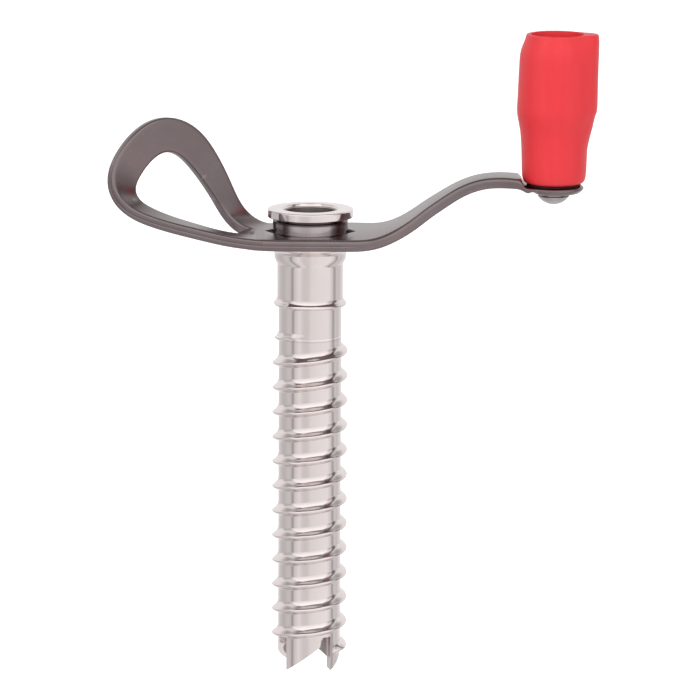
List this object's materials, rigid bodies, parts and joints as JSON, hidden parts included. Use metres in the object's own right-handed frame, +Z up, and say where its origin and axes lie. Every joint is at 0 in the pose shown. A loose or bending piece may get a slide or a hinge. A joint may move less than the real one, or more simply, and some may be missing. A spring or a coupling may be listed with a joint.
{
  "type": "ice screw",
  "caption": "Tubular ice screw with a coarse outside thread and cutting teeth, a bent hanger with a carabiner eye, and a crank arm with a spinning knob.",
  "frame": {"origin": "on the tube's axis, in the plane of the shoulder the hanger rests on", "axes": "+Z up along the tube away from the teeth, +X towards the crank arm and its knob, -X towards the carabiner eye, -Y the front side"},
  "size_m": [0.1321, 0.031, 0.1758],
  "materials": {
    "nickel_steel": "polished nickel-plated steel",
    "hanger_steel": "satin dark grey steel",
    "axle_steel": "satin steel",
    "knob_plastic": "smooth moulded red plastic",
    "washer_nylon": "black nylon"
  },
  "bodies": {
    "tube": {"screw_tube": "nickel_steel", "head_ring": "nickel_steel"},
    "hanger": {"hanger": "hanger_steel", "knob_axle": "axle_steel", "knob_thrust_washer": "washer_nylon", "knob_retaining_washer": "axle_steel"},
    "knob": {"knob": "knob_plastic"}
  },
  "joints": [
    {"name": "hanger_lift", "type": "slide", "parent": "tube", "child": "hanger", "axis": [0, 0, 1], "range_m": [0, 0.0038]},
    {"name": "knob_spin", "type": "hinge", "parent": "hanger", "child": "knob", "pos_m": [0.0659, 0, 0.03], "axis": [0, 0, 1], "continuous": true}
  ]
}
